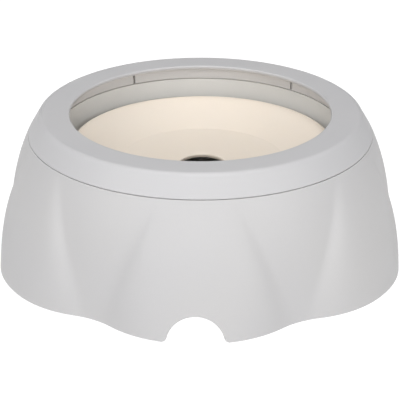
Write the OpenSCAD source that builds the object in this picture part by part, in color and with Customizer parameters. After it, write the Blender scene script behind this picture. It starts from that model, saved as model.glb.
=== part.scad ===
// Pet water bowl with a floating disc. Millimetres, +Z up, the front is -Y.
// The origin is on the surface that the bowl stands on, under the middle of the bowl.
// The skirt carries the basin, and the basin carries the splash ring and the floating disc.

/* [Skirt] */
// Radius of the skirt at the seam under the splash ring
seam_r = 106; // [105.5:0.5:108]
// Height of the seam above the ground
seam_z = 78.7; // [78.2:0.1:79.2]
// How far the skirt flares out between its lobes, from the seam to the hem
flare = 13; // [10:0.1:14]
// How far a lobe stands out of the flare at the hem
lobe_depth = 11.2; // [4:0.1:16]
// Number of lobes, one of which is at the front
lobe_count = 6; // [5:1:8]
// Wall thickness of the skirt
skirt_wall = 2.4; // [1.8:0.1:2.6]

/* [Finger notch] */
// Width of the finger notch in the front lobe
notch_w = 34; // [26:1:40]
// Height of the finger notch above the hem
notch_h = 15.8; // [12:0.2:20]
// Radius of the corners where the notch meets the hem
notch_corner = 3.3; // [2:0.1:5]

/* [Splash ring] */
// Radius of the opening over the water
opening_r = 80; // [78:0.5:80]
// Height of the splash ring's flat top above the ground
ring_top_z = 91.8; // [91.6:0.2:94]
// Angle of the ring's outer wall from the vertical
ring_lean = 30.5; // [28:0.5:34]
// Radius of the round between the ring's outer wall and its top
ring_round = 4.5; // [3:0.5:7]
// Number of slots in the inner skirt of the ring
slot_count = 5; // [3:1:8]
// Width of a slot
slot_w = 1.5; // [1:0.1:3]

/* [Basin] */
// Radius of the basin at the lip, where the ring's inner skirt meets it
lip_r = 87.4; // [87:0.2:88]
// Height of the lip above the ground
lip_z = 80.2; // [80.2:0.2:81.4]
// Height of the ledge that the dry float rests on
ledge_z = 64.1; // [62:0.1:65]
// Height of the inside of the basin's floor above the ground
floor_z = 11; // [8:0.5:25]

/* [Floating disc] */
// Radius of the floating disc
float_r = 81; // [80.6:0.1:81.2]
// Height of the disc's rim, which hangs down from the dish
rim_h = 6.3; // [6:0.1:7]
// Radius of the disc's low plateau
plateau_r = 51; // [44:1:54]
// Depth of the plateau's edge below the rim
dish_depth = 11.6; // [10:0.1:14]
// Radius of the hole in the middle of the disc
hole_r = 14; // [8:0.5:20]
// How far the loose disc lies to the right of the middle
float_drift = 1.2; // [0:0.1:1.4]

/* [Rubber pads] */
// Radius of a rubber pad
pad_r = 6; // [4:0.5:6.5]
// How far a pad stands out below the hem
pad_out = 1; // [0.6:0.1:1.6]

/* [Hidden] */
$fn = 180;

shell_grey = [0.83, 0.83, 0.84];
ring_grey = [0.80, 0.80, 0.81];
basin_grey = [0.76, 0.75, 0.73];
cream = [0.94, 0.88, 0.78];
rubber_grey = [0.35, 0.35, 0.36];

// Heights of the skirt: its hem, and the shelf inside its top that carries the basin's flange
hem_z = pad_out;
shelf_z = seam_z - 2;
shelf_r = 93;
shelf_t = 2.4;
rim_in_r = seam_r - skirt_wall;
lobe_step = 360 / lobe_count;
valleys = [for (i = [0:lobe_count - 1]) (i + 0.5) * lobe_step];

// How the skirt changes over its height: exponents of the flare and of a lobe's fading, a lobe's
// half width as a share of lobe_step, and how sharply the lobe folds down into the valleys
flare_bend = 2.85;
lobe_fade = 0.854;
lobe_fade_end = 0.924;
lobe_half_hem = 0.4375;
lobe_half_seam = 0.194;
lobe_narrowing = 1.266;
fold_hem = 2.35;
fold_seam = 9;
fold_soft = 0.2;

// Basin: its wall, its flange, and the upstand around the foot of the ring's inner skirt
basin_wall = 2.2;
foot_seat_w = 3;
upstand_t = 2;
flange_r = rim_in_r - 1;
flange_top_z = shelf_z + 2.4;
upstand_in_r = lip_r + foot_seat_w;
upstand_out_r = upstand_in_r + upstand_t;
upstand_z = lip_z + 3.5;
throat_r = float_r + 1.9;
throat_z = ledge_z + 7;
ledge_w = 6.5;
ledge_r = throat_r - ledge_w;
throat_lean = 0.3;
floor_r = 66;
floor_round = 9;
side_lean = 8;

// Splash ring: it leaves a thin gap over the skirt and over the basin's lip
seam_gap = 0.25;
ring_wall = 2.4;
ring_foot_z = seam_z + seam_gap;
ring_plate_t = 2.6;
inner_skirt_t = 2;
edge_round = 0.9;
skirt_lean = 1.1;
web_count = 6;
web_t = 1.6;
web_overlap = 0.6;
web_gap = 0.8;
first_slot = 49;
slot_top_gap = 0.6;

// Floating disc
disc_t = 2.4;
rim_z = ledge_z + rim_h;
rim_w = 2.2;
plateau_fall = 2.4;
rim_round = 0.8;
rim_step = 0.5;
rib_r = 46;
rib_h = 5;
rib_t = 1.6;
rib_draft = 0.2;

// Seats for the rubber pads, in bosses inside the valleys of the hem
pad_t = 2.2;
boss_r = pad_r + 2;
boss_top_z = 16;
boss_inset = 0.8;
boss_at_r = seam_r + flare - boss_r - boss_inset;
pad_play = 0.2;
pad_round = 0.6;

/* ---- helpers ---- */

// Places its children at azimuth az, counted from the front, at radius r and height z
module at_azimuth(az, r, z) {
    rotate([0, 0, az]) translate([0, -r, z]) children();
}

// Points of an arc around [cr, cz], from angle a0 to angle a1
function arc(cr, cz, radius, a0, a1, steps = 8) =
    [for (i = [0:steps]) let(a = a0 + (a1 - a0) * i / steps) [cr + radius * cos(a), cz + radius * sin(a)]];

/* ---- skirt ---- */

// Radius that the skirt would have without lobes, at height share h from the hem to the seam
function flare_radius(h) = seam_r + flare * (1 - pow(h, flare_bend));

// How far a lobe's crest stands out at height share h
function lobe_out(h) = lobe_depth * pow(max(0, 1 - pow(h, lobe_fade)), lobe_fade_end);

// Half the angle that a lobe takes at height share h, because lobes widen downwards
function lobe_half(h) =
    lobe_step * (lobe_half_hem + (lobe_half_seam - lobe_half_hem) * pow(h, lobe_narrowing));

// Angle from the nearest lobe's crest
function off_crest(az) = abs(az - lobe_step * round(az / lobe_step));

// Cross section of a lobe at height share h: 1 on its crest, u = 0, and close to 0 past u = 1
function lobe_curve(u, h) = let(f = 1 - pow(u, fold_hem + (fold_seam - fold_hem) * h))
    (f + sqrt(f * f + fold_soft * fold_soft)) / (1 + sqrt(1 + fold_soft * fold_soft));

// Outer radius of the skirt at azimuth az, counted from the front, and height z
function skirt_radius(az, z) = let(h = min(1, max(0, (z - hem_z) / (seam_z - hem_z))))
    flare_radius(h) + lobe_out(h) * lobe_curve(off_crest(az) / lobe_half(h), h);

// One cut through the shell at azimuth az, as a closed loop of points: up the outside, over
// the rim, round the shelf and down the inside
skirt_cols = 144;
skirt_rows = 14;
function skirt_z(i, top) = hem_z + (top - hem_z) * i / skirt_rows;
function skirt_loop(az) = concat(
    [for (i = [0:skirt_rows]) let(z = skirt_z(i, seam_z)) [skirt_radius(az, z), z]],
    [[rim_in_r, seam_z], [rim_in_r, shelf_z], [shelf_r, shelf_z], [shelf_r, shelf_z - shelf_t]],
    [for (i = [skirt_rows:-1:0]) let(z = skirt_z(i, shelf_z - shelf_t))
        [skirt_radius(az, z) - skirt_wall, z]]);

module skirt_shell() {
    loops = [for (c = [0:skirt_cols - 1]) skirt_loop(360 * c / skirt_cols)];
    n = len(loops[0]);
    points = [for (c = [0:skirt_cols - 1]) let(az = 360 * c / skirt_cols)
        for (p = loops[c]) [p[0] * sin(az), -p[0] * cos(az), p[1]]];
    faces = [for (c = [0:skirt_cols - 1]) let(d = (c + 1) % skirt_cols)
        for (k = [0:n - 1]) let(m = (k + 1) % n) [c * n + k, c * n + m, d * n + m, d * n + k]];
    polyhedron(points = points, faces = faces, convexity = 6);
}

// Side view of the finger notch: a round arch whose feet curve out into the hem. The corner
// circles touch the arch from outside at foot_top, and their middles are foot_x from the middle.
module notch_outline() {
    arch_r = notch_w / 2;
    arch_z = notch_h - arch_r;
    foot_x = sqrt(pow(arch_r + notch_corner, 2) - pow(notch_corner - arch_z, 2));
    foot_top = arch_z + (notch_corner - arch_z) * arch_r / (arch_r + notch_corner);
    translate([0, arch_z]) circle(r = arch_r);
    difference() {
        translate([-foot_x, -notch_h]) square([2 * foot_x, notch_h + foot_top]);
        for (side = [-1, 1])
            translate([side * foot_x, notch_corner]) circle(r = notch_corner);
    }
}

module skirt() {
    color(shell_grey) difference() {
        union() {
            skirt_shell();
            for (az = valleys) at_azimuth(az, boss_at_r, hem_z)
                cylinder(r = boss_r, h = boss_top_z - hem_z);
        }
        for (az = valleys) at_azimuth(az, boss_at_r, hem_z - 1)
            cylinder(r = pad_r, h = pad_t - pad_out + 1);
        translate([0, -seam_r, hem_z]) rotate([90, 0, 0])
            linear_extrude(height = 2 * notch_w) notch_outline();
    }
}

/* ---- basin ---- */

module basin() {
    // Inside, from the middle of the floor up to the lip
    inside = concat(
        [[0, floor_z]],
        arc(floor_r, floor_z + floor_round, floor_round, -90, -side_lean),
        [[ledge_r, ledge_z], [throat_r, ledge_z], [throat_r + throat_lean, throat_z], [lip_r, lip_z]]);
    // The seat of the ring's inner skirt, the upstand and the flange
    edge = [[upstand_in_r, lip_z], [upstand_in_r, upstand_z], [upstand_out_r, upstand_z],
            [upstand_out_r, flange_top_z], [flange_r, flange_top_z], [flange_r, shelf_z]];
    // Outside, from under the flange down to the middle of the floor
    outside = concat(
        [[lip_r + throat_lean, shelf_z], [throat_r + throat_lean + basin_wall, throat_z],
         [throat_r + basin_wall, ledge_z - basin_wall], [ledge_r + basin_wall, ledge_z - basin_wall]],
        arc(floor_r, floor_z + floor_round, floor_round + basin_wall, -side_lean, -90),
        [[0, floor_z - basin_wall]]);
    color(basin_grey) rotate_extrude() polygon(concat(inside, edge, outside));
}

/* ---- splash ring ---- */

module splash_ring() {
    lean = tan(ring_lean);
    over = ring_wall / cos(ring_lean);
    overhang_z = ring_top_z - ring_plate_t;
    // Outer corner of wall and top, and the middle of the round that softens it
    corner_r = seam_r - (ring_top_z - seam_z) * lean;
    round_z = ring_top_z - ring_round;
    round_r = corner_r + ring_round * (lean - 1 / cos(ring_lean));
    outer = concat(
        [[seam_r - seam_gap * lean, ring_foot_z]],
        arc(round_r, round_z, ring_round, ring_lean, 90),
        arc(opening_r + edge_round, ring_top_z - edge_round, edge_round, 90, 180, 4),
        arc(opening_r + edge_round, overhang_z + edge_round, edge_round, 180, 270, 4));
    skirt_foot_r = lip_r + 0.2;
    skirt_top_r = skirt_foot_r + skirt_lean;
    inner = [[skirt_top_r, overhang_z], [skirt_foot_r, lip_z + seam_gap],
             [skirt_foot_r + inner_skirt_t, lip_z + seam_gap], [skirt_top_r + inner_skirt_t, overhang_z],
             [corner_r + (ring_top_z - overhang_z) * lean - over, overhang_z],
             [seam_r - seam_gap * lean - over, ring_foot_z]];
    web_in_r = upstand_out_r + web_gap;
    web = [[web_in_r, flange_top_z], [flange_r, flange_top_z], [seam_r - over, ring_foot_z + web_overlap],
           [corner_r, overhang_z + web_overlap], [web_in_r, overhang_z + web_overlap]];
    color(ring_grey) difference() {
        union() {
            rotate_extrude() polygon(concat(outer, inner));
            for (i = [0:web_count - 1]) rotate([0, 0, 360 / web_count * i])
                translate([0, web_t / 2, 0]) rotate([90, 0, 0])
                    linear_extrude(height = web_t) polygon(web);
        }
        // Slots that split the inner skirt into springy tongues
        for (i = [0:slot_count - 1]) rotate([0, 0, first_slot + 360 / slot_count * i])
            translate([lip_r - 1, -slot_w / 2, lip_z - 1])
                cube([inner_skirt_t + 3, slot_w, overhang_z - lip_z + 1 - slot_top_gap]);
    }
}

/* ---- floating disc ---- */

module float_disc() {
    dish_r = float_r - rim_w;
    slope = atan(dish_depth / (dish_r - plateau_r));
    plateau_z = rim_z - dish_depth;
    hole_z = plateau_z - plateau_fall;
    drop = disc_t / cos(slope);
    top = concat(
        [[hole_r, hole_z], [plateau_r, plateau_z], [dish_r, rim_z - rim_step]],
        arc(float_r - rim_round, rim_z - rim_round, rim_round, 90, 0, 4));
    under = concat(
        arc(float_r - rim_round, ledge_z + rim_round, rim_round, 0, -90, 4),
        [[dish_r, ledge_z], [dish_r, rim_z - rim_step - drop], [plateau_r + 1, plateau_z - drop],
         [rib_r + rib_t + rib_draft, plateau_z - drop], [rib_r + rib_t, plateau_z - drop - rib_h],
         [rib_r, plateau_z - drop - rib_h], [rib_r - rib_draft, plateau_z - disc_t - rim_step],
         [hole_r, hole_z - disc_t]]);
    color(cream) translate([float_drift, 0, 0]) rotate_extrude() polygon(concat(top, under));
}

/* ---- rubber pads ---- */

module foot_pad(i) {
    color(rubber_grey) at_azimuth(valleys[i], boss_at_r, 0) rotate_extrude() polygon(concat(
        [[0, 0]], arc(pad_r - pad_play - pad_round, pad_round, pad_round, -90, 0, 4),
        [[pad_r - pad_play, pad_t], [0, pad_t]]));
}

skirt();
basin();
splash_ring();
float_disc();
foot_pad(0);  // foot_pad_1
foot_pad(1);  // foot_pad_2
foot_pad(2);  // foot_pad_3
foot_pad(3);  // foot_pad_4
foot_pad(4);  // foot_pad_5
foot_pad(5);  // foot_pad_6
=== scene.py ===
"""Pet water bowl with a floating disc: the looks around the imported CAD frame.

Profiles are (radius, height) in millimetres, in the row's frame, and become metres in to_metres().
The front of the bowl, with the finger notch, is -Y.
"""

import math

import bmesh
import bpy
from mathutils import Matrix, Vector


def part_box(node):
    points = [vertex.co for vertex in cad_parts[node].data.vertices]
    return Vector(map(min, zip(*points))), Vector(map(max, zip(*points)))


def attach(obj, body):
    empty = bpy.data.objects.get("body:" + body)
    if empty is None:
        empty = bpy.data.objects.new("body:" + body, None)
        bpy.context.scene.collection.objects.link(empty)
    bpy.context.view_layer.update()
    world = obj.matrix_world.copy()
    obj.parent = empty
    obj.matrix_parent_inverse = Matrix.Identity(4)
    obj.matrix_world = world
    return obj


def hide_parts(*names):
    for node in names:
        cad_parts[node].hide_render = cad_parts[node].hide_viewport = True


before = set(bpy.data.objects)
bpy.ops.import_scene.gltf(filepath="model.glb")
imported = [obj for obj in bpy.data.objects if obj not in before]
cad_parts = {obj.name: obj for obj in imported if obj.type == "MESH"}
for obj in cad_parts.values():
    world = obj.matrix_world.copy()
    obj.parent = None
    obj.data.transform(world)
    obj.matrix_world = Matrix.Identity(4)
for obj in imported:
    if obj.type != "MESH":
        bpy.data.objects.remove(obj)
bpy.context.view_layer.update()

MM = 0.001
TURNS = 288                     # columns round a large turned piece
SMALL_TURNS = 64                # and round a small one
BOSS_TURNS = 48

# Sizes that the frame states
ring_low, ring_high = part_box("splash_ring")
basin_low, basin_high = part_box("basin")
float_low, float_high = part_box("float_disc")
skirt_low, skirt_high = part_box("skirt")
pad_low, pad_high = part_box("foot_pad_1")

HEM_Z = skirt_low.z / MM
SEAM_Z = skirt_high.z / MM
TOP_Z = ring_high.z / MM
RING_FOOT_Z = ring_low.z / MM
FLOOR_UNDER_Z = basin_low.z / MM
LEDGE_Z = float_low.z / MM
RIM_Z = float_high.z / MM
FLOAT_R = (float_high.x - float_low.x) / 2 / MM
FLOAT_X = (float_high.x + float_low.x) / 2 / MM
FLANGE_R = basin_high.x / MM
UPSTAND_Z = basin_high.z / MM

# Sizes of the design inside those boxes
SEAM_R = 106.0                  # skirt's radius at the seam
FLARE = 13.0                    # growth of the radius from the seam to the hem
LOBE_DEPTH = 11.2               # how far the lobes stand out of the flare at the hem
LOBES = 6
WALL = 2.4                      # skirt and ring
LEAN = math.radians(30.5)       # the ring's outer wall, from upright
OPENING_R = 80.0
LIP_R = 87.4                    # inner edge of the basin's lip
LIP_Z = 80.2
SHELF_Z = SEAM_Z - 2            # skirt's shelf, on which the basin's flange rests
SHELF_R = 93.0
FLANGE_T = 2.4
RIB_T = 1.6                     # thin ribs and webs on the hidden sides
NOTCH_R = 17.0
NOTCH_H = 15.8
NOTCH_CORNER = 3.3              # round where the notch meets the hem
SIT = 0.05                      # hairline between faces that rest on each other


# ---------------------------------------------------------------- mesh helpers

def to_metres(points):
    return [(x * MM, y * MM, z * MM) for x, y, z in points]


def even_normals(obj):
    weigh = obj.modifiers.new("even_normals", "WEIGHTED_NORMAL")
    weigh.keep_sharp = True


def make_object(name, points, faces):
    """A smooth-shaded object from points in millimetres, with every face turned outwards."""
    mesh = bpy.data.meshes.new(name)
    mesh.from_pydata(to_metres(points), [], faces)
    mesh.validate()
    solid = bmesh.new()
    solid.from_mesh(mesh)
    bmesh.ops.recalc_face_normals(solid, faces=solid.faces)
    solid.to_mesh(mesh)
    solid.free()
    mesh.polygons.foreach_set("use_smooth", [True] * len(mesh.polygons))
    obj = bpy.data.objects.new(name, mesh)
    bpy.context.scene.collection.objects.link(obj)
    even_normals(obj)
    return obj


def rounded(corners, steps=5):
    """A closed outline from corners (r, z, radius), each replaced by an arc that touches both sides."""
    outline = []
    count = len(corners)
    for i, (r, z, radius) in enumerate(corners):
        here = Vector((r, z))
        if radius <= 0:
            outline.append((r, z))
            continue
        before = (Vector(corners[i - 1][:2]) - here).normalized()
        after = (Vector(corners[(i + 1) % count][:2]) - here).normalized()
        half = math.acos(max(-1, min(1, before.dot(after)))) / 2
        reach = radius / math.tan(half)
        centre = here + (before + after).normalized() * radius / math.sin(half)
        first = here + before * reach - centre
        last = here + after * reach - centre
        turn = first.angle_signed(last)
        for k in range(steps + 1):
            a = -turn * k / steps
            x = first.x * math.cos(a) - first.y * math.sin(a)
            y = first.x * math.sin(a) + first.y * math.cos(a)
            outline.append((centre.x + x, centre.y + y))
    return outline


def subdivided(outline, longest):
    """The same closed outline with no segment longer than `longest`, so that bumps and normals stay even."""
    out = []
    for i, (r0, z0) in enumerate(outline):
        r1, z1 = outline[(i + 1) % len(outline)]
        pieces = max(1, math.ceil(math.hypot(r1 - r0, z1 - z0) / longest))
        if r0 == 0 and r1 == 0:
            pieces = 1
        out += [(r0 + (r1 - r0) * k / pieces, z0 + (z1 - z0) * k / pieces) for k in range(pieces)]
    return out


def lathe(name, outline, centre=(0, 0), turns=TURNS):
    """Turns a closed outline round a vertical axis. Outline points on the axis become one vertex."""
    points, faces, rings = [], [], []
    for r, z in outline:
        if r < 1e-6:
            rings.append([len(points)] * turns)
            points.append((centre[0], centre[1], z))
            continue
        rings.append(list(range(len(points), len(points) + turns)))
        for c in range(turns):
            a = 2 * math.pi * c / turns
            points.append((centre[0] + r * math.cos(a), centre[1] + r * math.sin(a), z))
    for i in range(len(outline)):
        low, high = rings[i], rings[(i + 1) % len(outline)]
        if low[0] == low[1] and high[0] == high[1]:
            continue
        for c in range(turns):
            d = (c + 1) % turns
            quad = [low[c], low[d], high[d], high[c]]
            faces.append([v for k, v in enumerate(quad) if v not in quad[:k]])
    return make_object(name, points, faces)


def combine(obj, tool, operation):
    """Cuts the tool out of the object, or joins it on, and deletes the tool."""
    for each in (obj, tool):
        each.modifiers.clear()
    step = obj.modifiers.new("combine", "BOOLEAN")
    step.operation = operation
    step.solver = "EXACT"
    step.object = tool
    graph = bpy.context.evaluated_depsgraph_get()
    mesh = bpy.data.meshes.new_from_object(obj.evaluated_get(graph))
    obj.modifiers.clear()
    obj.data = mesh
    bpy.data.objects.remove(tool)


def prism(name, outline, thickness, place):
    """A flat outline (a, b) given a thickness; place turns (a, b, depth) into a point."""
    count = len(outline)
    points = [place(a, b, side * thickness / 2) for side in (-1, 1) for a, b in outline]
    faces = [list(range(count))[::-1], list(range(count, 2 * count))]
    faces += [[i, (i + 1) % count, count + (i + 1) % count, count + i] for i in range(count)]
    return make_object(name, points, faces)


def finish_normals(obj, sharp=38):
    """Smooth shading with sharp edges where the surface really turns."""
    obj.data.polygons.foreach_set("use_smooth", [True] * len(obj.data.polygons))
    obj.data.set_sharp_from_angle(angle=math.radians(sharp))
    if not obj.modifiers:
        even_normals(obj)
    return obj


def around(az, r):
    """The point at azimuth az (degrees from the front, towards +X) and radius r."""
    a = math.radians(az)
    return r * math.sin(a), -r * math.cos(a)


# ---------------------------------------------------------------- materials

NOISE_LOW, NOISE_HIGH = 0.3, 0.7
CLOUDS = 14                     # noise scales, in features a metre
FLOW_WAVES = 26
GLOSS_PATCHES = 55
SCUFFS = 420
SPECKS = 1900
GRAIN = 2600
BLOOM = 90
RUBBER_PATCHES = 160
PEBBLES = 1500
PLASTIC_SPECULAR = 0.42
SCATTER_RADIUS = (1.0, 0.75, 0.5)
SCATTER_DEPTH = 0.003


class Nodes:
    """A short way to write a node material."""

    def __init__(self, name):
        self.material = bpy.data.materials.new(name)
        self.material.use_nodes = True
        self.tree = self.material.node_tree
        self.shader = self.tree.nodes["Principled BSDF"]
        self.place = self.add("ShaderNodeTexCoord").outputs["Object"]

    def add(self, kind, **settings):
        node = self.tree.nodes.new(kind)
        for key, value in settings.items():
            setattr(node, key, value)
        return node

    def link(self, output, target):
        self.tree.links.new(output, target)

    def noise(self, scale, detail=2.0, rough=0.5, stretch=(1, 1, 1)):
        mapping = self.add("ShaderNodeMapping")
        mapping.inputs["Scale"].default_value = stretch
        self.link(self.place, mapping.inputs["Vector"])
        node = self.add("ShaderNodeTexNoise")
        node.inputs["Scale"].default_value = scale
        node.inputs["Detail"].default_value = detail
        node.inputs["Roughness"].default_value = rough
        self.link(mapping.outputs["Vector"], node.inputs["Vector"])
        return node.outputs["Fac"]

    def spread(self, value, low, high):
        """Maps the range that holds most of a noise's values to low..high."""
        node = self.add("ShaderNodeMapRange")
        node.inputs["From Min"].default_value = NOISE_LOW
        node.inputs["From Max"].default_value = NOISE_HIGH
        node.inputs["To Min"].default_value = low
        node.inputs["To Max"].default_value = high
        self.link(value, node.inputs["Value"])
        return node.outputs["Result"]

    def mix(self, factor, first, second):
        """Blends two plain colours by a linked factor."""
        node = self.add("ShaderNodeMix", data_type="RGBA")
        self.link(factor, node.inputs["Factor"])
        node.inputs["A"].default_value = (*first, 1)
        node.inputs["B"].default_value = (*second, 1)
        return node.outputs["Result"]

    def join(self, share, first, second):
        """Blends two linked colours, with a fixed share of the second."""
        node = self.add("ShaderNodeMix", data_type="RGBA")
        node.inputs["Factor"].default_value = share
        self.link(first, node.inputs["A"])
        self.link(second, node.inputs["B"])
        return node.outputs["Result"]

    def bump(self, height, strength, distance, before=None):
        node = self.add("ShaderNodeBump")
        node.inputs["Strength"].default_value = strength
        node.inputs["Distance"].default_value = distance
        self.link(height, node.inputs["Height"])
        if before is not None:
            self.link(before, node.inputs["Normal"])
        return node.outputs["Normal"]


def shade(colour, factor):
    return tuple(min(1.0, c * factor) for c in colour)


def moulded_plastic(name, colour, warm, gloss=0.5, grain=0.5, scatter=0.0):
    """Spark-eroded moulded plastic: cloudy colour, fine grain, faint flow waves and hairline scuffs."""
    n = Nodes(name)
    clouds = n.spread(n.noise(CLOUDS, detail=3), 0, 1)
    base = n.mix(clouds, shade(colour, 0.985), shade(warm, 1.012))
    specks = n.spread(n.noise(SPECKS, detail=1), 0, 1)
    tint = n.mix(specks, shade(colour, 0.972), shade(colour, 1.02))
    n.link(n.join(0.4, base, tint), n.shader.inputs["Base Color"])
    patches = n.noise(GLOSS_PATCHES, detail=4)
    n.link(n.spread(patches, gloss - 0.05, gloss + 0.06), n.shader.inputs["Roughness"])
    waves = n.bump(n.noise(FLOW_WAVES), strength=0.05, distance=0.0012)
    lines = n.noise(SCUFFS, stretch=(1, 1, 0.12))
    scuffs = n.bump(lines, strength=0.035 * grain, distance=0.0003, before=waves)
    pits = n.noise(GRAIN, rough=0.6)
    fine = n.bump(pits, strength=0.3 * grain, distance=0.00012, before=scuffs)
    n.link(fine, n.shader.inputs["Normal"])
    n.shader.inputs["Specular IOR Level"].default_value = PLASTIC_SPECULAR
    if scatter:
        n.shader.inputs["Subsurface Weight"].default_value = scatter
        n.shader.inputs["Subsurface Radius"].default_value = SCATTER_RADIUS
        n.shader.inputs["Subsurface Scale"].default_value = SCATTER_DEPTH
    return n.material


def soft_rubber(name, colour):
    """Matt rubber with a pebbled surface and a dusty bloom."""
    n = Nodes(name)
    bloom = n.spread(n.noise(BLOOM, detail=4), 0, 1)
    n.link(n.mix(bloom, shade(colour, 0.85), shade(colour, 1.35)), n.shader.inputs["Base Color"])
    n.link(n.spread(n.noise(RUBBER_PATCHES, detail=3), 0.72, 0.9), n.shader.inputs["Roughness"])
    n.link(n.bump(n.noise(PEBBLES), strength=0.45, distance=0.00015), n.shader.inputs["Normal"])
    return n.material


SHELL = (0.502, 0.497, 0.504)
SHELL_WARM = (0.506, 0.498, 0.494)
RING = (0.505, 0.502, 0.513)
RING_WARM = (0.508, 0.502, 0.505)
# painted light: a lighter copy of the ring's grey for its slotted inner skirt, standing in for light falling
# there
RING_INSIDE_PAINTED_LIGHT = (0.625, 0.618, 0.616)
RING_INSIDE_PAINTED_LIGHT_WARM = (0.630, 0.618, 0.606)
TANK = (0.728, 0.728, 0.710)
TANK_WARM = (0.736, 0.726, 0.700)
CREAM = (0.745, 0.672, 0.587)
CREAM_WARM = (0.752, 0.668, 0.568)
RUBBER = (0.055, 0.055, 0.058)


# ---------------------------------------------------------------- skirt

FLARE_BEND = 2.85               # the flare steepens upwards
LOBE_FADE, LOBE_FADE_END = 0.854, 0.924
LOBE_HALF_HEM, LOBE_HALF_SEAM = 0.4375, 0.194
LOBE_NARROWING = 1.266
FOLD_HEM, FOLD_SEAM = 2.35, 9   # how square a lobe's side is
FOLD_SOFT = 0.2


def clamp(value):
    return max(0.0, min(1.0, value))


def smooth_step(t):
    t = clamp(t)
    return t * t * (3 - 2 * t)


def skirt_radius(az, z):
    """Outer radius of the lobed skirt at azimuth az and height z: the design's own formula."""
    h = clamp((z - HEM_Z) / (SEAM_Z - HEM_Z))
    step = 360 / LOBES
    off = abs(az - step * round(az / step))
    half = step * (LOBE_HALF_HEM + (LOBE_HALF_SEAM - LOBE_HALF_HEM) * h ** LOBE_NARROWING)
    f = 1 - (off / half) ** (FOLD_HEM + (FOLD_SEAM - FOLD_HEM) * h)
    lobe = (f + math.hypot(f, FOLD_SOFT)) / (1 + math.hypot(1, FOLD_SOFT))
    fade = max(0, 1 - h ** LOBE_FADE) ** LOBE_FADE_END
    return SEAM_R + FLARE * (1 - h ** FLARE_BEND) + LOBE_DEPTH * fade * lobe


CREST_R = SEAM_R + FLARE + LOBE_DEPTH
NOTCH_ZONE = 15.0               # degrees each side of the front where columns bend to the notch
ARCH_Z = HEM_Z + NOTCH_H - NOTCH_R
FOOT_X = math.sqrt((NOTCH_R + NOTCH_CORNER) ** 2 - (NOTCH_CORNER + HEM_Z - ARCH_Z) ** 2)
FOOT_ANGLE = math.atan2(NOTCH_CORNER + HEM_Z - ARCH_Z, FOOT_X)


def hem_line(share):
    """The hem's edge on one side of the notch, share 0 at the zone's end and 1 on top of the arch.
    Gives (distance from the middle, height) and the direction out of the wall."""
    zone_x = CREST_R * math.radians(NOTCH_ZONE)
    straight = zone_x - FOOT_X
    corner = NOTCH_CORNER * (math.pi / 2 - FOOT_ANGLE)
    arch = NOTCH_R * (math.pi / 2 - FOOT_ANGLE)
    s = share * (straight + corner + arch)
    if s < straight:
        return (zone_x - s, HEM_Z), (0.0, -1.0)
    s -= straight
    if s < corner:
        a = s / NOTCH_CORNER
        out = (-math.sin(a), -math.cos(a))
        return (FOOT_X + NOTCH_CORNER * out[0], HEM_Z + NOTCH_CORNER * (1 + out[1])), out
    a = FOOT_ANGLE + (s - corner) / NOTCH_R
    return (NOTCH_R * math.cos(a), ARCH_Z + NOTCH_R * math.sin(a)), (-math.cos(a), -math.sin(a))


def skirt_columns(regular=300, in_zone=34):
    """Every column's azimuth at the top, its place on the hem's edge and the way out of the wall there."""
    columns = []
    for i in range(-in_zone, in_zone + 1):
        share = 1 - abs(i) / in_zone
        (x, z), (ox, oz) = hem_line(share)
        side = -1 if i < 0 else 1
        az = math.degrees(x / CREST_R) * side
        columns.append((NOTCH_ZONE * i / in_zone, az, z, ox * side, oz))
    for i in range(1, regular):
        az = NOTCH_ZONE + (360 - 2 * NOTCH_ZONE) * i / regular
        columns.append((az, az, HEM_Z, 0.0, -1.0))
    return columns


def skirt_shell():
    edge, edge_steps = 0.7, 4   # round on the hem's two edges
    outer_rows, inner_rows = 64, 30
    crowding = 1.15             # above 1, rows lie closer together towards the hem
    bend_end = 0.62             # share of the height over which columns bend to the notch
    last_row_z = SEAM_Z - 0.4
    under_shelf_z = SHELF_Z - WALL
    top = rounded([
        (SEAM_R, SEAM_Z, 0.2), (SEAM_R - WALL, SEAM_Z, 0.4), (SEAM_R - WALL, SHELF_Z, 0.3),
        (SHELF_R, SHELF_Z, 0.5), (SHELF_R, under_shelf_z, 0.5), (SEAM_R, under_shelf_z, 0)], 3)[:-1]
    loops = []
    for az_top, az_hem, z_hem, out_az, out_z in skirt_columns():
        def at(t, z_end, inset):
            """Azimuth and height a share t of the way up from the hem, which is inset from its edge."""
            z0 = z_hem - out_z * inset
            az0 = az_hem - math.degrees(out_az * inset / CREST_R)
            bend = smooth_step(t / bend_end)
            return az0 + (az_top - az0) * bend, z0 + (z_end - z0) * t

        def hem_round(k):
            """Azimuth, outer radius and height on step k of the hem's round, and the round's depth there."""
            a = math.pi / 2 * k / edge_steps
            az, z = at(0, 0, edge * (1 - math.sin(a)))
            return az, skirt_radius(az, z), z, edge * (1 - math.cos(a))

        loop = []
        for i in range(outer_rows):
            az, z = at((i / outer_rows) ** crowding, last_row_z, edge)
            loop.append((az, skirt_radius(az, z), z))
        loop += [(az_top, r, z) for r, z in top]
        for i in range(inner_rows + 1):
            az, z = at(1 - i / inner_rows, under_shelf_z, edge)
            loop.append((az, skirt_radius(az, z) - WALL, z))
        for k in range(1, edge_steps + 1):
            az, r, z, depth = hem_round(k)
            loop.append((az, r - WALL + depth, z))
        for k in range(edge_steps, 0, -1):
            az, r, z, depth = hem_round(k)
            loop.append((az, r - depth, z))
        loops.append(loop)
    count = len(loops[0])
    points = [(*around(az, r), z) for loop in loops for az, r, z in loop]
    faces = []
    for c in range(len(loops)):
        d = (c + 1) % len(loops)
        for k in range(count):
            m = (k + 1) % count
            faces.append([c * count + k, d * count + k, d * count + m, c * count + m])
    return make_object("skirt_shell", points, faces)


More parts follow.
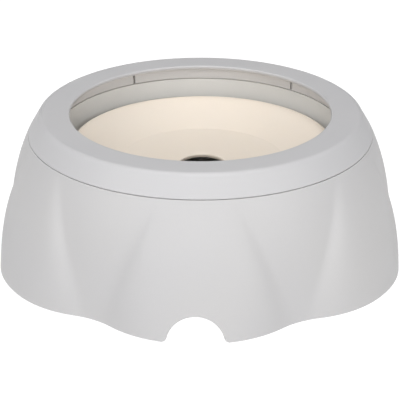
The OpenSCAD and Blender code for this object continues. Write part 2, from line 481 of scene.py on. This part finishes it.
VALLEYS = [(i + 0.5) * 360 / LOBES for i in range(LOBES)]
PAD_R = (pad_high.x - pad_low.x) / 2 / MM
PAD_T = pad_high.z / MM
SEAT_R = PAD_R + 0.2
BOSS_R = SEAT_R + 2
BOSS_TOP = 16.0
BOSS_AT = SEAM_R + FLARE - BOSS_R - 0.8


def pad_bosses():
    """The cups under the valleys that hold the rubber pads, as separate closed solids."""
    cup = rounded([(0, BOSS_TOP, 0), (BOSS_R, BOSS_TOP, 0.8), (BOSS_R, HEM_Z, 0.5), (SEAT_R, HEM_Z, 0.3),
                   (SEAT_R, PAD_T, 0), (0, PAD_T, 0)], 3)
    return [lathe(f"boss_{i}", cup, around(az, BOSS_AT), BOSS_TURNS) for i, az in enumerate(VALLEYS)]


def radial(angle):
    """A place() for prism(): (r, z, depth) in the upright plane at this angle, in degrees from +X."""
    a = math.radians(angle)

    def place(r, z, depth):
        return r * math.cos(a) - depth * math.sin(a), r * math.sin(a) + depth * math.cos(a), z
    return place


def gussets():
    """Thin ribs in the corner between the shelf and the wall, under the lobes' crests and valleys."""
    height, middle = 22, 9
    top_z, middle_z, low_z = SHELF_Z - 0.5, SHELF_Z - middle, SHELF_Z - height
    ribs = []
    for i in range(2 * LOBES):
        az = i * 180 / LOBES
        outline = [(SHELF_R + 1.5, top_z), (skirt_radius(az, SHELF_Z) - 1.0, top_z),
                   (skirt_radius(az, middle_z) - 1.2, middle_z), (skirt_radius(az, low_z) - 1.2, low_z),
                   (skirt_radius(az, low_z) - WALL - 1.0, low_z)]
        ribs.append(prism(f"gusset_{i}", outline, RIB_T, radial(az - 90)))
    return ribs


def build_skirt():
    skirt = skirt_shell()
    for tool in pad_bosses() + gussets():
        combine(skirt, tool, "UNION")
    return finish_normals(skirt, 50)


# ---------------------------------------------------------------- basin, ring, disc, pads

THROAT_R = FLOAT_R + 1.9        # the basin's wall over the ledge
THROAT_Z = LEDGE_Z + 7
LEDGE_R = THROAT_R - 6.5        # the ledge's inner edge
BASIN_WALL = 2.2
FLANGE_Z = SHELF_Z + FLANGE_T
OVERHANG_Z = TOP_Z - 2.6        # underside of the ring's top


def build_basin():
    lean = 0.3                  # how far the wall over the ledge leans out
    foot_r = LEDGE_R - 1.75     # where the wall's slope meets the floor
    floor_z = FLOOR_UNDER_Z + BASIN_WALL
    under_z = LEDGE_Z - BASIN_WALL
    upstand_r = LIP_R + 3
    upstand_out = upstand_r + 2
    recess_z = FLOOR_UNDER_Z + 0.5
    gate_z = FLOOR_UNDER_Z + 1.0    # the moulding point, a pit in the middle of the recess
    corners = [
        (0, floor_z, 0), (foot_r, floor_z, 9), (LEDGE_R, LEDGE_Z, 0.8), (THROAT_R, LEDGE_Z, 0.6),
        (THROAT_R + lean, THROAT_Z, 6), (LIP_R, LIP_Z, 0.3), (upstand_r, LIP_Z, 0.2),
        (upstand_r, UPSTAND_Z, 0.6), (upstand_out, UPSTAND_Z, 0.6), (upstand_out, FLANGE_Z, 0.5),
        (FLANGE_R, FLANGE_Z, 0.5), (FLANGE_R, SHELF_Z + SIT, 0.5), (LIP_R + lean, SHELF_Z + SIT, 0.8),
        (THROAT_R + lean + BASIN_WALL, THROAT_Z, 4), (THROAT_R + BASIN_WALL, under_z, 1.2),
        (LEDGE_R + BASIN_WALL, under_z, 1.0), (foot_r + BASIN_WALL, FLOOR_UNDER_Z, 10.5),
        (20, FLOOR_UNDER_Z, 0.4), (18.8, recess_z, 0.4), (5, recess_z, 0.3), (4.4, gate_z, 0.3),
        (0, gate_z, 0)]
    return finish_normals(lathe("basin_bowl", subdivided(rounded(corners), 6)))


def build_ring():
    webs, slots, first_slot, slot_w = 6, 5, 49, 1.5
    lean, over = math.tan(LEAN), WALL / math.cos(LEAN)
    gap = RING_FOOT_Z - SEAM_Z
    skirt_foot_z = LIP_Z + gap
    corner_r = SEAM_R - (TOP_Z - SEAM_Z) * lean
    foot_r = SEAM_R - gap * lean
    under_corner_r = corner_r + (TOP_Z - OVERHANG_Z) * lean - over
    corners = [
        (foot_r, RING_FOOT_Z, 0.35), (corner_r, TOP_Z, 4.5), (OPENING_R, TOP_Z, 1.1),
        (OPENING_R, OVERHANG_Z, 1.0), (LIP_R + 1.3, OVERHANG_Z, 0.7), (LIP_R + 0.2, skirt_foot_z, 0.55),
        (LIP_R + 2.2, skirt_foot_z, 0.3), (LIP_R + 3.3, OVERHANG_Z, 0.6),
        (under_corner_r, OVERHANG_Z, 1.6), (foot_r - over, RING_FOOT_Z, 0.35)]
    ring = lathe("cover_ring", subdivided(rounded(corners, 7), 4))
    web_in, web_top, web_foot = LIP_R + 5.8, OVERHANG_Z + 0.6, FLANGE_Z + SIT
    web = [(web_in, web_foot), (FLANGE_R, web_foot), (SEAM_R - over, RING_FOOT_Z + 0.6),
           (corner_r, web_top), (web_in, web_top)]
    for i in range(webs):
        tool = prism(f"web_{i}", web, RIB_T, radial(360 / webs * i))
        combine(ring, tool, "UNION")
    slot = [(LIP_R - 1, LIP_Z - 1), (LIP_R + 4, LIP_Z - 1),
            (LIP_R + 4, OVERHANG_Z - 0.6), (LIP_R - 1, OVERHANG_Z - 0.6)]
    for i in range(slots):
        tool = prism(f"slot_{i}", slot, slot_w, radial(first_slot + 360 / slots * i))
        combine(ring, tool, "DIFFERENCE")
    return finish_normals(ring)


def build_disc():
    rim_w, dish, plateau_r, plateau_fall, hole_r = 2.2, 11.6, 51.0, 2.4, 14.0
    thick, rib_r, rib_h = 2.4, 46.0, 5.0
    step = 0.5                  # from the rim's top down to the dish's edge
    dish_r = FLOAT_R - rim_w
    drop = thick / math.cos(math.atan2(dish, dish_r - plateau_r))   # the slope's thickness, upright
    foot_z = LEDGE_Z + SIT
    plateau_z = RIM_Z - dish
    hole_z = plateau_z - plateau_fall
    under_z = plateau_z - drop
    rib_z = under_z - rib_h
    corners = [
        (hole_r, hole_z, 1.0), (plateau_r, plateau_z, 1.2), (dish_r, RIM_Z - step, 1.5),
        (FLOAT_R - 1.4, RIM_Z, 0.5), (FLOAT_R, RIM_Z, 0.8), (FLOAT_R, foot_z, 0.6),
        (dish_r, foot_z, 0.5), (dish_r, RIM_Z - step - drop, 0.8), (plateau_r + 1, under_z, 1.0),
        (rib_r + 1.8, under_z, 0.5), (rib_r + 1.6, rib_z, 0.4), (rib_r, rib_z, 0.4),
        (rib_r - 0.2, plateau_z - thick - step, 0.5), (hole_r, hole_z - thick, 0.6)]
    return finish_normals(lathe("dish_disc", subdivided(rounded(corners), 5), (FLOAT_X, 0)))


def build_pad(i):
    """A rubber pad with two grooves round its underside."""
    deep, slope = 0.35, 0.2
    corners = [(0, 0, 0)]
    for start, end in ((1.8, 2.9), (3.9, 4.9)):
        corners += [(start, 0, 0.1), (start + slope, deep, 0.1), (end - slope, deep, 0.1), (end, 0, 0.1)]
    corners += [(PAD_R, 0, 0.5), (PAD_R, PAD_T, 0.2), (0, PAD_T, 0)]
    place = around(VALLEYS[i - 1], BOSS_AT)
    return finish_normals(lathe(f"rubber_pad_{i}", rounded(corners, 3), place, SMALL_TURNS))


# ---------------------------------------------------------------- the pieces and their places

def dress(piece, material, body, node):
    piece.data.materials.clear()
    piece.data.materials.append(material)
    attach(piece, body)
    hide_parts(node)


def paint_light_inside(ring, material):
    """Gives the ring's slotted inner skirt a material of its own: painted light, a lighter copy of the
    ring's plastic.
    """
    outer_r, top_z = LIP_R + 5, TOP_Z - 2.0
    ring.data.materials.append(material)
    for face in ring.data.polygons:
        r, z = math.hypot(face.center.x, face.center.y) / MM, face.center.z / MM
        if r < outer_r and z < top_z:
            face.material_index = 1


shell_plastic = moulded_plastic("shell_plastic", SHELL, SHELL_WARM)
tank_plastic = moulded_plastic("tank_plastic", TANK, TANK_WARM, gloss=0.45)
ring_plastic = moulded_plastic("ring_plastic", RING, RING_WARM)
# painted light: the ring's own plastic made lighter, for the inside of the ring
ring_inside_painted_light = moulded_plastic("ring_inside_painted_light", RING_INSIDE_PAINTED_LIGHT, RING_INSIDE_PAINTED_LIGHT_WARM)
cream_plastic = moulded_plastic("cream_plastic", CREAM, CREAM_WARM, gloss=0.42, grain=0.4, scatter=0.05)
pad_rubber = soft_rubber("pad_rubber", RUBBER)

dress(build_skirt(), shell_plastic, "base", "skirt")
dress(build_basin(), tank_plastic, "tank", "basin")
cover = build_ring()
dress(cover, ring_plastic, "cover", "splash_ring")
# painted light: the inner skirt gets the lighter copy of the ring's plastic
paint_light_inside(cover, ring_inside_painted_light)
dress(build_disc(), cream_plastic, "float", "float_disc")
for number in range(1, LOBES + 1):
    dress(build_pad(number), pad_rubber, "base", f"foot_pad_{number}")


# ---------------------------------------------------------------- stage, light and camera

CAMERA_AZIMUTH, CAMERA_ELEVATION = 1.28, 24.47
CAMERA_AIM = Vector((-0.00025, 0.0, HEM_Z * MM + 0.2823 * SEAM_R * MM))
CAMERA_DISTANCE = 9.204 * SEAM_R * MM
CAMERA_LENS = 139.5
STUDIO_AIM = Vector((0.0, 0.0, 0.05))
LIGHT_DISTANCE = 2.0
SOFTBOX = 0.9                   # side of each square softbox
FLOOR_HALF = 4.0
FLOOR_GLOW = 1.03
WORLD_GLOW = 0.075
LIGHTS = (                      # name, azimuth from the front, elevation, watts
    ("front_low", 0, 15, 3.5),
    ("front_middle", 0, 25, 7.0),
    ("front_high", 0, 65, 4.5),
    ("left_low", -45, 15, 6.0),
    ("left_middle", -40, 30, 4.0),
    ("left_high", -90, 55, 4.0),
    ("right_low", 45, 15, 10.5),
    ("right_high", 90, 55, 1.5),
    ("top", 0, 88, 23.0),
)


def build_floor():
    """A wide white sheet that glows evenly, like a light table."""
    corners = [(x * FLOOR_HALF, y * FLOOR_HALF, 0) for x, y in ((-1, -1), (1, -1), (1, 1), (-1, 1))]
    mesh = bpy.data.meshes.new("floor")
    mesh.from_pydata(corners, [], [(0, 1, 2, 3)])
    floor = bpy.data.objects.new("floor", mesh)
    bpy.context.scene.collection.objects.link(floor)
    n = Nodes("pale_floor")
    n.shader.inputs["Base Color"].default_value = (0.08, 0.08, 0.08, 1)
    n.shader.inputs["Roughness"].default_value = 0.9
    n.shader.inputs["Specular IOR Level"].default_value = 0.1
    n.shader.inputs["Emission Color"].default_value = (1, 1, 1, 1)
    n.shader.inputs["Emission Strength"].default_value = FLOOR_GLOW
    floor.data.materials.append(n.material)


def direction(azimuth, elevation):
    """Unit vector from the object, azimuth in degrees from the front towards +X."""
    a, e = math.radians(azimuth), math.radians(elevation)
    return Vector((math.sin(a) * math.cos(e), -math.cos(a) * math.cos(e), math.sin(e)))


def softbox(name, azimuth, elevation, watts):
    data = bpy.data.lights.new(name, "AREA")
    data.shape = "SQUARE"
    data.size = SOFTBOX
    data.energy = watts
    light = bpy.data.objects.new(name, data)
    outward = direction(azimuth, elevation)
    light.location = STUDIO_AIM + outward * LIGHT_DISTANCE
    light.rotation_mode = "QUATERNION"
    light.rotation_quaternion = (-outward).to_track_quat("-Z", "Y")
    bpy.context.scene.collection.objects.link(light)


def build_camera():
    back = direction(CAMERA_AZIMUTH, CAMERA_ELEVATION)
    data = bpy.data.cameras.new("camera")
    data.sensor_width = 36
    data.lens = CAMERA_LENS
    camera = bpy.data.objects.new("camera", data)
    camera.location = CAMERA_AIM + back * CAMERA_DISTANCE
    camera.rotation_mode = "QUATERNION"
    camera.rotation_quaternion = (-back).to_track_quat("-Z", "Y")
    bpy.context.scene.collection.objects.link(camera)
    bpy.context.scene.camera = camera


def build_world():
    world = bpy.data.worlds.new("studio")
    bpy.context.scene.world = world
    world.use_nodes = True
    sky = world.node_tree.nodes["Background"]
    sky.inputs["Color"].default_value = (1, 1, 1, 1)
    sky.inputs["Strength"].default_value = WORLD_GLOW


bpy.context.scene.view_settings.view_transform = "Standard"
build_floor()
build_camera()
build_world()
for light in LIGHTS:
    softbox(*light)
